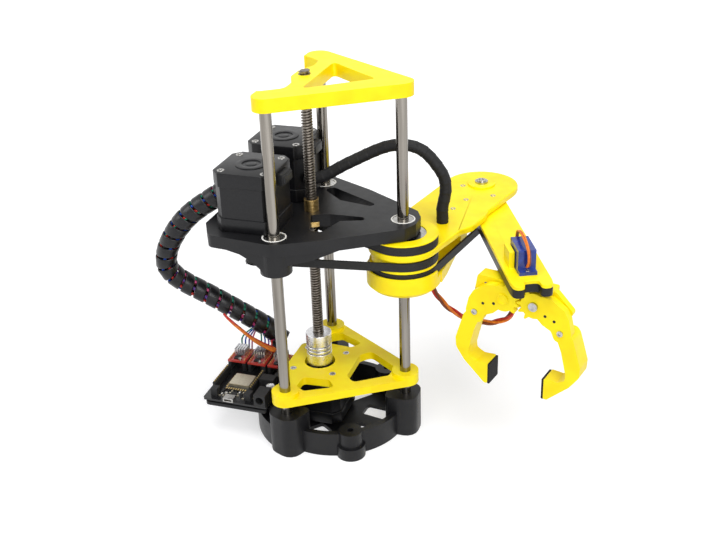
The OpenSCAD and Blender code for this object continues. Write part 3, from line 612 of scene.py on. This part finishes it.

# %% [markdown]
# ### The arm sleeve
# A thinner bundle, wound in black cloth tape, arches from the shoulder motor over the
# shoulder joint and down into the upper arm. Each turn of tape leaves a small step.

# %% Arm sleeve
sleeve_way = [(-21.6, 14, 188), (-17, 14, 188), (-8, 16, 190.5), (10, 21, 200.5),
              (37, 29, 212), (57, 35, 209), (71, 39, 192), (74, 40, 179), (72, 39, 165),
              (72, 39, 158), (72, 39, 153.5)]
sleeve_frames, sleeve_length = even_way(smooth_way(sleeve_way, 12), 110)
tape_pitch, tape_low, tape_step = 7 * MM, 4.2, 0.28
ring_count = 3 * 110
rings = []
for i in range(ring_count + 1):
    share = i / ring_count
    turn_share = (share * sleeve_length / tape_pitch) % 1.0
    radius = (tape_low + tape_step * turn_share ** 3) * MM
    rings.append([at(sleeve_frames, share, radius, tau * j / 20) for j in range(20)])
sleeve_wrap = swept("sleeve_wrap", rings, tape_black)
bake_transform(sleeve_wrap)
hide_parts("arm_sleeve")
print("sleeve is", round(sleeve_length / MM), "mm long")

# %% [markdown]
# ### The gripper lead
# Three thin wires leave the underside of the arm, hang in a curve behind the claws
# and rise to the gripper servo. They cross the elbow and the wrist, and the lead is made
# as two cords that meet behind a claw.

# %% Gripper lead
lead_way = [(61, 30, 123.4), (61, 30.2, 121), (62, 31.5, 114), (65.5, 32, 105),
            (72, 29.5, 97), (82, 25, 91), (97, 18.5, 88), (113, 12, 91.5), (125, 8, 98),
            (130.5, 6, 105), (131.5, 5.5, 112.5), (131.5, 5.5, 120.2)]
lead_looks = (wire_brown, wire_red, wire_orange)


def three_strands(name, frames, turns, look_list, radius):
    """Three wires side by side in one mesh, each with its own colour."""
    return merged([strand(name + "_part_%d" % i, frames, radius, 1.12 * radius, turns, look,
                          phase=i * tau / 3) for i, look in enumerate(look_list)], name)


for name, points, bodies, ends in (
        ("lead_upper", lead_way[:7], ("upper_arm", "forearm"),
         ((0.061, 0.03, 0.12), (0.09, 0.021, 0.09))),
        ("lead_lower", lead_way[6:], ("forearm", "gripper"),
         ((0.099, 0.018, 0.089), (0.129, 0.007, 0.11)))):
    line = smooth_way(points, 4)
    frames, length = even_way(smooth_way(points, 14), 60)
    lead = three_strands(name, frames, 1.6, lead_looks, 1.04 * MM)
    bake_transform(lead)
    if name == "lead_upper":
        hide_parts("gripper_lead")
    print(name, "is", round(length / MM), "mm long")

# %% [markdown]
# ### The wrist lead
# The wrist servo's own three wires come out of its case, loop over the top and drop
# into the forearm. Nothing bends here, so the cord simply rides on the forearm.

# %% Wrist lead
loop_way = [(6.4, 5), (7.4, 5), (9.2, 6.4), (11, 10), (10, 16), (3, 20), (-9, 21), (-20, 18),
            (-24, 9), (-24, 3), (-24, 0)]
elbow, wrist = Vector((83.197, 116.435)), Vector((140.425, -9.139))
fore_turn = radians(-65.5)


def on_forearm(along, left, z):
    """A place on the forearm: millimetres from the elbow, to its left, and up."""
    return (elbow.x + along * cos(fore_turn) - left * sin(fore_turn),
            elbow.y + along * sin(fore_turn) + left * cos(fore_turn), z)


loop_points = [on_forearm(138 + a, 0, 148 + z) for a, z in loop_way]
loop_frames, loop_length = even_way(smooth_way(loop_points, 10), 70)
wrist_loop = three_strands("wrist_loop", loop_frames, 0.5,
                           (wire_orange, wire_brown, wire_orange), 0.62 * MM)
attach(wrist_loop, "forearm")
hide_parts("wrist_lead")
print("wrist lead is", round(loop_length / MM), "mm long")

# %% [markdown]
# ## Softened edges
# A printed part never has a razor edge: the nozzle rounds it. The CAD shapes are
# right but sharp, so each printed part is copied, its triangles are merged and
# flattened into clean faces, and a small bevel catches the light along its edges.

# %% Soften the printed parts and the motors
body_of = {n: b for b, names in frame["record"]["behaviour"]["bodies"].items() for n in names}


def softened(node, width, segments=2):
    """A clean copy of a CAD part with rounded edges."""
    item = nodes[node].copy()
    item.data = nodes[node].data.copy()
    scene.collection.objects.link(item)
    item.parent = None
    for key in list(item.keys()):
        del item[key]
    item.matrix_world = Matrix.Identity(4)
    pick(item)
    bpy.ops.object.mode_set(mode="EDIT")
    bpy.ops.mesh.select_all(action="SELECT")
    bpy.ops.mesh.remove_doubles(threshold=1e-6)
    bpy.ops.mesh.dissolve_limited(angle_limit=radians(0.4))
    bpy.ops.object.mode_set(mode="OBJECT")
    bevelled(item, width, segments)
    bpy.ops.object.mode_set(mode="EDIT")
    bpy.ops.mesh.select_all(action="SELECT")
    bpy.ops.mesh.quads_convert_to_tris(quad_method="BEAUTY", ngon_method="BEAUTY")
    bpy.ops.object.mode_set(mode="OBJECT")
    done(item, node + "_soft", looks[node], body_of[node], node)
    flat = item.modifiers.new("flat faces", "WEIGHTED_NORMAL")
    flat.keep_sharp = True
    bpy.ops.object.modifier_apply(modifier=flat.name)
    return item


soft_width = {
    "base_shell": 0.8, "lower_plate": 0.7, "top_plate": 1.2, "platform": 0.7,
    "upper_arm_plate": 0.9, "shoulder_pulley": 0.25, "upper_arm_shell": 0.9,
    "elbow_cap": 0.4, "idler_pulley": 0.25, "forearm_cover": 0.6, "forearm_body": 0.6,
    "elbow_pulley": 0.25, "gripper_palm": 0.5, "jaw_left": 0.5, "jaw_right": 0.5,
    "board_bracket": 0.4, "lift_motor": 0.6, "shoulder_motor": 0.6, "elbow_motor": 0.6,
    "shaft_coupling": 0.35, "lift_nut": 0.3,
}
for node, width in soft_width.items():
    piece = softened(node, width * MM)
    print(node, len(piece.data.polygons), "faces")


# %% [markdown]
# ## Screws
# Small round-headed screws hold every plate. One head is modelled from a cylinder:
# its top is set in and pushed down for the driver, and its rim is rounded. It is
# then copied to each hole, because a hundred hand-made screws would differ.

# %% One screw head, and its copies
fresh()
bpy.ops.mesh.primitive_cylinder_add(vertices=24, radius=2.75 * MM, depth=1.6 * MM,
                                    location=(0, 0, 0.6 * MM))
screw_head = bpy.context.object
pick_faces(screw_head, lambda c, n: n.z > 0.9)
bpy.ops.mesh.inset(thickness=1.35 * MM)
bpy.ops.mesh.extrude_region_move(TRANSFORM_OT_translate={"value": (0, 0, -0.9 * MM)})
bpy.ops.object.mode_set(mode="OBJECT")
bevelled(screw_head, 0.3 * MM, 2, 50)


def copied(item, name, place, look, body, turn=Matrix.Identity(4), size=1.0):
    """A copy of a model made at the origin, turned, sized and put in place."""
    other = item.copy()
    other.data = item.data.copy()
    scene.collection.objects.link(other)
    other.data.transform(Matrix.Translation(Vector(place) * MM) @ turn @ Matrix.Scale(size, 4))
    other.matrix_world = Matrix.Identity(4)
    return done(other, name, look, body)


screw_x, motor_x, motor_y = -12.73, -42.88, 29.2
lower_plate_top, motor_screw_half = 47.0, 15.5
square = ((-1, -1), (1, -1), (1, 1), (-1, 1))
for k, (a, b) in enumerate(square):
    copied(screw_head, "plate_screw_%d" % (k + 1),
           (screw_x + a * motor_screw_half, b * motor_screw_half, lower_plate_top - 0.6),
           bright_steel, "base_frame", size=0.9)
arm_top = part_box("upper_arm_plate")[1][2] / MM
shoulder, arm_turn = Vector((54.2, 0.0)), radians(76)


def on_upper_arm(along, left, z):
    """A place on the upper arm: millimetres from the shoulder, to its left, and up."""
    return (shoulder.x + along * cos(arm_turn) - left * sin(arm_turn),
            shoulder.y + along * sin(arm_turn) + left * cos(arm_turn), z)


for k, (along, left) in enumerate(((110.8, 11.3), (87.1, -3.6), (67.5, -3.0),
                                   (103.6, -17.9))):
    copied(screw_head, "arm_screw_%d" % (k + 1), on_upper_arm(along, left, arm_top - 0.35),
           bright_steel, "upper_arm", size=0.72)
pin_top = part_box("elbow_pin")[1][2] / MM
copied(screw_head, "elbow_screw", (elbow.x, elbow.y, pin_top + 0.1), bright_steel, "upper_arm",
       size=1.25)
for k, along in enumerate((119.2, 146.3)):
    copied(screw_head, "servo_screw_%d" % (k + 1), on_forearm(along, 0, 150.3), bright_steel,
           "forearm", size=0.6)
grip_turn = radians(-12.9)


def on_gripper(x, depth, z):
    """A place on the gripper seen from its front."""
    return (wrist.x + x * cos(grip_turn) - depth * sin(grip_turn),
            wrist.y + x * sin(grip_turn) + depth * cos(grip_turn), z)


facing_front = Matrix.Rotation(grip_turn, 4, "Z") @ Matrix.Rotation(radians(90), 4, "X")
for name, x, z, body, size in (("pivot_screw", 11.3, 126.5, "gripper", 0.85),
                               ("right_claw_screw", 30.6, 110.9, "right_jaw", 0.8),
                               ("left_claw_screw", -31.7, 111.8, "left_jaw", 0.8)):
    copied(screw_head, name, on_gripper(x, -9.9 if size > 0.8 else -9.3, z), bright_steel, body,
           facing_front, size)
print("screws placed")

# %% [markdown]
# ### Dimples and pin holes
# The claws carry small round holes, and a printed cap closes the left pivot. Each is a
# thin disc with a sunk middle, so it reads as a hole or a cap without cutting the CAD.
# The hole discs are near-black: painted shade for the inside of each hole.

# %% Dimples of the claws
fresh()
bpy.ops.mesh.primitive_cylinder_add(vertices=20, radius=1.5 * MM, depth=0.3 * MM)
dimple = bpy.context.object
pick_faces(dimple, lambda c, n: n.z > 0.9)
bpy.ops.mesh.inset(thickness=0.25 * MM)
bpy.ops.mesh.extrude_region_move(TRANSFORM_OT_translate={"value": (0, 0, -0.2 * MM)})
bpy.ops.object.mode_set(mode="OBJECT")
for name, x, z, body, size in (("left_bore", -11.2, 126.5, "gripper", 2.6),
                               ("dimple_1", 19.6, 121.1, "right_jaw", 0.7),
                               ("dimple_2", 26.1, 118.8, "right_jaw", 0.7),
                               ("dimple_3", -25.5, 119.8, "left_jaw", 0.7),
                               ("dimple_4", -17.6, 121.5, "left_jaw", 0.7)):
    # the small discs take the near-black chip finish as painted shade inside the holes; the big
    # yellow one is the printed cap
    depth, look = (-9.75, yellow) if size > 1 else (-9.05, chip)
    copied(dimple, name, on_gripper(x, depth, z), look, body, facing_front, size)
bpy.data.objects.remove(dimple)

# %% [markdown]
# ## Stepper motors
# A stepper motor is a stack of steel sheets between two square end caps, held by four
# long screws. The caps stand a little proud of the stack. Each is a block whose
# upright edges are cut back, so the line between cap and stack shows all round.

# %% Motor caps, screws and plugs
cap_width = 42.3 + 2 * 0.22


def motor_cap(name, x, y, low, high, body):
    """A square end cap with cut corners, a little wider than the motor's stack."""
    fresh()
    bpy.ops.mesh.primitive_cube_add(size=1, location=(x * MM, y * MM, (low + high) / 2 * MM),
                                    scale=(cap_width * MM, cap_width * MM, (high - low) * MM))
    cap = bpy.context.object
    bpy.ops.object.transform_apply(location=False, rotation=False, scale=True)
    bpy.ops.object.mode_set(mode="EDIT")
    bpy.ops.mesh.select_mode(type="EDGE")
    bpy.ops.mesh.select_all(action="DESELECT")
    mesh = bmesh.from_edit_mesh(cap.data)
    for edge in mesh.edges:
        a, b = edge.verts
        edge.select_set(abs(a.co.z - b.co.z) > 1e-4)
    bmesh.update_edit_mesh(cap.data)
    bpy.ops.mesh.bevel(offset=5.6 * MM, offset_type="OFFSET", segments=1, affect="EDGES")
    bpy.ops.object.mode_set(mode="OBJECT")
    bevelled(cap, 0.45 * MM, 3)
    return done(cap, name, motor_paint, body)


for side, y in (("left", motor_y), ("right", -motor_y)):
    motor_cap(side + "_cap_low", motor_x, y, 170.9, 180.5, "lift_platform")
    motor_cap(side + "_cap_high", motor_x, y, 203.0, 212.9, "lift_platform")
    for k, (a, b) in enumerate(square):
        copied(screw_head, "%s_motor_screw_%d" % (side, k + 1),
               (motor_x + a * motor_screw_half, y + b * motor_screw_half, 212.4), bright_steel,
               "lift_platform", size=0.95)
    fresh()
    bpy.ops.mesh.primitive_cylinder_add(vertices=40, radius=11 * MM, depth=1.2 * MM,
                                        location=(motor_x * MM, y * MM, 212.9 * MM))
    hub = bpy.context.object
    pick_faces(hub, lambda c, n: n.z > 0.9)
    bpy.ops.mesh.inset(thickness=4.5 * MM)
    bpy.ops.mesh.extrude_region_move(TRANSFORM_OT_translate={"value": (0, 0, -1.0 * MM)})
    bpy.ops.mesh.inset(thickness=2.6 * MM)
    bpy.ops.mesh.extrude_region_move(TRANSFORM_OT_translate={"value": (0, 0, 0.7 * MM)})
    bpy.ops.object.mode_set(mode="OBJECT")
    bevelled(hub, 0.25 * MM, 2)
    done(hub, side + "_motor_hub", motor_paint, "lift_platform")
    fresh()
    bpy.ops.mesh.primitive_cube_add(size=1, location=((motor_x + 23.3) * MM, y * MM, 206 * MM),
                                    scale=(4.6 * MM, 15 * MM, 8 * MM))
    plug = bpy.context.object
    bpy.ops.object.transform_apply(location=False, rotation=False, scale=True)
    pick_faces(plug, lambda c, n: n.x > 0.9)
    bpy.ops.mesh.inset(thickness=1.0 * MM)
    bpy.ops.mesh.extrude_region_move(TRANSFORM_OT_translate={"value": (1.2 * MM, 0, 0)})
    bpy.ops.object.mode_set(mode="OBJECT")
    bevelled(plug, 0.5 * MM, 2)
    done(plug, side + "_motor_plug", chip, "lift_platform")
motor_cap("lift_cap_low", screw_x, 0, 6.2, 15.0, "base_frame")
motor_cap("lift_cap_high", screw_x, 0, 32.0, 40.8, "base_frame")
print("motor details ready")

# %% [markdown]
# ## The lead screw
# Turning this screw lifts the platform. Its thread is one tooth, drawn as a line, that
# climbs while it turns: the Screw modifier does just that. A texture of stripes would
# look flat from the side, where the teeth break the outline.

# %% Lead screw thread
screw_low, screw_high = (corner[2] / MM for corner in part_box("lead_screw"))
tooth = [(2.7, 0.0), (2.7, 0.45), (3.96, 0.8), (3.96, 1.25), (2.7, 1.6), (2.7, 2.0)]
line = bpy.data.meshes.new("thread")
line.from_pydata([(r * MM, 0, z * MM) for r, z in tooth],
                 [(k, k + 1) for k in range(len(tooth) - 1)], [])
thread = bpy.data.objects.new("thread", line)
scene.collection.objects.link(thread)
thread.location = (screw_x * MM, 0, (screw_low - 1.0) * MM)
pick(thread)
climb = thread.modifiers.new("climb", "SCREW")
climb.axis, climb.angle, climb.screw_offset = "Z", tau, 2.0 * MM
climb.iterations = int((screw_high - screw_low + 2) / 2)
climb.steps = climb.render_steps = 18
climb.use_merge_vertices = False
bpy.ops.object.modifier_apply(modifier=climb.name)
out_again(thread)
for height, upward in ((screw_low + 0.6, -1), (screw_high - 0.3, 1)):
    bpy.ops.object.mode_set(mode="EDIT")
    bpy.ops.mesh.select_all(action="SELECT")
    bpy.ops.mesh.bisect(plane_co=(screw_x * MM, 0, height * MM), plane_no=(0, 0, upward),
                        use_fill=True, clear_outer=True)
    bpy.ops.object.mode_set(mode="OBJECT")
out_again(thread)
done(thread, "lead_screw_thread", screw_steel, "lift_screw", "lead_screw", angle=30)
print("thread has", len(thread.data.polygons), "faces")

# %% [markdown]
# ## Bearing seals
# Each rod runs in a bearing pressed into the platform. All that shows is a thin white
# seal round the rod. It is a small ring, pressed flat.

# %% Bearing seals
for name, x, y in (("front", -20.8, -50.0), ("back", -20.8, 50.0), ("shoulder", 54.2, 0.0)):
    fresh()
    bpy.ops.mesh.primitive_torus_add(major_segments=64, minor_segments=10,
                                     location=(x * MM, y * MM, 170.75 * MM),
                                     major_radius=7.9 * MM, minor_radius=0.55 * MM)
    seal = bpy.context.object
    bpy.ops.object.mode_set(mode="EDIT")
    bpy.ops.mesh.select_all(action="SELECT")
    bpy.ops.transform.resize(value=(1, 1, 0.45))
    bpy.ops.object.mode_set(mode="OBJECT")
    done(seal, name + "_seal", nylon, "lift_platform")

# %% [markdown]
# ## Belt teeth
# The belts are toothed on the inside. One tooth is modelled and an Array modifier
# repeats it every 2 mm along each straight run, where the teeth can be seen.

# %% Belt teeth
def teeth(name, start, start_r, end, end_r, low, side, body):
    """A row of teeth along one straight run between two pulleys."""
    a, b = Vector(start), Vector(end)
    gap = b - a
    lean = side * asin((end_r - start_r) / gap.length)
    across = Matrix.Rotation(atan2(gap.y, gap.x) + side * radians(90) + lean, 2) @ Vector((1, 0))
    first, last = a + across * (start_r - 0.35), b + across * (end_r - 0.35)
    run = last - first
    turn = atan2(run.y, run.x)
    count = int(run.length / 2)
    fresh()
    bpy.ops.mesh.primitive_cube_add(size=1, location=(0, 0, 0))
    row = bpy.context.object
    bpy.ops.object.mode_set(mode="EDIT")
    bpy.ops.mesh.select_all(action="SELECT")
    bpy.ops.transform.resize(value=(1.0 * MM, 0.75 * MM, 5.6 * MM))
    bpy.ops.mesh.bevel(offset=0.15 * MM, segments=1, affect="EDGES")
    bpy.ops.object.mode_set(mode="OBJECT")
    repeat = row.modifiers.new("repeat", "ARRAY")
    repeat.count, repeat.use_relative_offset, repeat.use_constant_offset = count, False, True
    repeat.constant_offset_displace = (2 * MM, 0, 0)
    bpy.ops.object.modifier_apply(modifier=repeat.name)
    row.data.transform(Matrix.Translation((first.x * MM, first.y * MM, (low + 3) * MM))
                       @ Matrix.Rotation(turn, 4, "Z"))
    done(row, name, rubber, body)
    return count


pinion_r, wheel_r, elbow_wheel_r = 7.5, 22.8, 17.3
total = 0
for side in (-1, 1):
    tag = "near" if side < 0 else "far"
    total += teeth("shoulder_teeth_" + tag, (motor_x, motor_y), pinion_r, shoulder, wheel_r,
                   153.7, side, "lift_platform")
    total += teeth("drive_teeth_" + tag, (motor_x, -motor_y), pinion_r, shoulder, wheel_r,
                   141.8, side, "lift_platform")
    total += teeth("elbow_teeth_" + tag, shoulder, wheel_r, elbow, elbow_wheel_r, 133.2, side,
                   "upper_arm")
print(total, "belt teeth")

# %% [markdown]
# ## The control board
# The board carries three small red driver cards on black sockets, a radio module
# under a tin can, and dozens of tiny parts. The cards replace their CAD blocks. The
# tiny parts are copies of two small bodies, laid out in rows as a board has them.

# %% Blocks for the board
def block(name, low, high, look, round_off=0.15, stands_for=()):
    """A small moulded block between two corners, with a raised or sunk top."""
    fresh()
    size = [(b - a) * MM for a, b in zip(low, high)]
    bpy.ops.mesh.primitive_cube_add(size=1, scale=size,
                                    location=[(a + b) / 2 * MM for a, b in zip(low, high)])
    item = bpy.context.object
    bpy.ops.object.transform_apply(location=False, rotation=False, scale=True)
    pick_faces(item, lambda c, n: n.z > 0.9)
    bpy.ops.mesh.inset(thickness=min(size[0], size[1]) * 0.14)
    bpy.ops.mesh.extrude_region_move(TRANSFORM_OT_translate={"value": (0, 0, -size[2] * 0.06)})
    bpy.ops.object.mode_set(mode="OBJECT")
    bevelled(item, min(round_off * MM, min(size) * 0.2), 2)
    return done(item, name, look, "base_frame", *stands_for)


board_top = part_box("circuit_board")[1][2] / MM
pin_pitch = 2.54
for i in range(3):
    x = -87 + 16.5 * i
    stands_for = ("driver_boards",) if i == 0 else ()
    block("card_%d" % (i + 1), (x, -6, 37.6), (x + 14.5, 14, 39.2), mask_red, 0.2, stands_for)
    for k, shift in enumerate((0.0, 12.0)):
        block("card_%d_socket_%d" % (i + 1, k + 1), (x + shift, -5.6, board_top),
              (x + shift + 2.5, 13.6, 37.6), chip, 0.2)
        pins = [block("pin", (x + shift + 0.9, -4.6 + pin_pitch * j, 39.0),
                      (x + shift + 1.6, -3.9 + pin_pitch * j, 40.6), gold, 0.1)
                for j in range(7)]
        merged(pins, "card_%d_pins_%d" % (i + 1, k + 1))
    block("card_%d_chip" % (i + 1), (x + 4.2, -3.6, 39.1), (x + 8.6, 0.2, 40.1), chip, 0.12)
    fresh()
    bpy.ops.mesh.primitive_cylinder_add(vertices=16, radius=1.3 * MM, depth=1.5 * MM,
                                        location=((x + 9.6) * MM, -4.0 * MM, 39.9 * MM))
    trimmer = bpy.context.object
    pick_faces(trimmer, lambda c, n: n.z > 0.9)
    bpy.ops.mesh.inset(thickness=0.35 * MM)
    bpy.ops.mesh.extrude_region_move(TRANSFORM_OT_translate={"value": (0, 0, -0.3 * MM)})
    bpy.ops.object.mode_set(mode="OBJECT")
    done(trimmer, "card_%d_trimmer" % (i + 1), bright_steel, "base_frame")
block("radio_card", (-78, -33.5, board_top), (-58, -12.5, board_top + 0.9), mask_black)
pad_low, pad_high = board_top + 0.8, board_top + 1.05
pads = [block("pad", (-77 + 1.9 * j, -33.3, pad_low), (-76 + 1.9 * j, -31.2, pad_high), gold, 0.05)
        for j in range(10)]
pads += [block("pad", (x, -30 + 2.0 * j, pad_low), (x + 1.4, -29.1 + 2.0 * j, pad_high), gold,
               0.05) for j in range(8) for x in (-77.9, -59.5)]
merged(pads, "radio_pads")
for k, x in enumerate((-86.0, -56.6)):
    block("side_header_%d" % (k + 1), (x, -36, board_top), (x + 2.5, -9, board_top + 6.5), chip,
          0.2)
    pins = [block("pin", (x + 0.8, -35 + pin_pitch * j, board_top + 6.2),
                  (x + 1.6, -34.2 + pin_pitch * j, board_top + 7.4), gold, 0.1)
            for j in range(10)]
    merged(pins, "side_pins_%d" % (k + 1))
tiny_spots = [(-78.5 + 3.1 * i + (0.9 if j % 2 else 0), -42.6 + 2.35 * j) for i in range(9)
              for j in range(4) if not (-73 < -78.5 + 3.1 * i < -62 and j < 1)]
tiny_spots += [(-53 + 2.6 * i, -15.6 + 2.3 * j) for i in range(5) for j in range(4)]
tiny_spots += [(-52 + 2.8 * i, -34.5 + 2.4 * j) for i in range(3) for j in range(3)]
light, dark, white = [], [], []
kinds = ((light, tin, 0.7), (dark, chip, 1.0), (white, nylon, 0.5))
for k, (x, y) in enumerate(tiny_spots):
    long_way = k % 3 != 1
    a, b = (1.7, 0.9) if long_way else (0.9, 1.7)
    group, look, tall = kinds[(k * 7) % 5 % 3]
    group.append(block("tiny", (x, y, board_top - 0.05), (x + a, y + b, board_top + tall), look,
                       0.1))
merged(light, "board_bits_tin")
merged(dark, "board_bits_black")
merged(white, "board_bits_white")
block("board_chip_1", (-50, -15.5, board_top), (-43, -9.5, board_top + 1.3), chip)
block("board_chip_2", (-70, -41, board_top), (-65.5, -36.5, board_top + 1.1), chip, 0.12)
for k, (x, y) in enumerate(((-41.5, -13.5), (-41.5, -30.0))):
    fresh()
    bpy.ops.mesh.primitive_cylinder_add(vertices=28, radius=3.1 * MM, depth=7.5 * MM,
                                        location=(x * MM, y * MM, (board_top + 3.75) * MM))
    can = bpy.context.object
    pick_faces(can, lambda c, n: n.z > 0.9)
    bpy.ops.mesh.inset(thickness=0.5 * MM)
    bpy.ops.mesh.extrude_region_move(TRANSFORM_OT_translate={"value": (0, 0, -0.35 * MM)})
    bpy.ops.object.mode_set(mode="OBJECT")
    bevelled(can, 0.35 * MM, 3)
    done(can, "board_can_%d" % (k + 1), turned_aluminium if k else chip, "base_frame")
print("board has", len(tiny_spots), "tiny parts")

# %% [markdown]
# ## The coupling
# A turned aluminium coupling joins the motor to the lead screw. Set screws hold it,
# and each sits in a dark hole in its side.

# %% Set screws of the coupling
box_low, box_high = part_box("shaft_coupling")
sunk_r = (box_high[0] - box_low[0]) / 2 / MM - 0.7
for k, (height, angle) in enumerate(((51.5, -75), (67.5, -75), (51.5, -165), (67.5, 15))):
    outward = Matrix.Rotation(radians(angle), 4, "Z") @ Matrix.Rotation(radians(90), 4, "Y")
    copied(screw_head, "set_screw_%d" % (k + 1),
           (screw_x + sunk_r * cos(radians(angle)), sunk_r * sin(radians(angle)), height), chip,
           "lift_screw", outward, 0.62)
bpy.data.objects.remove(screw_head)
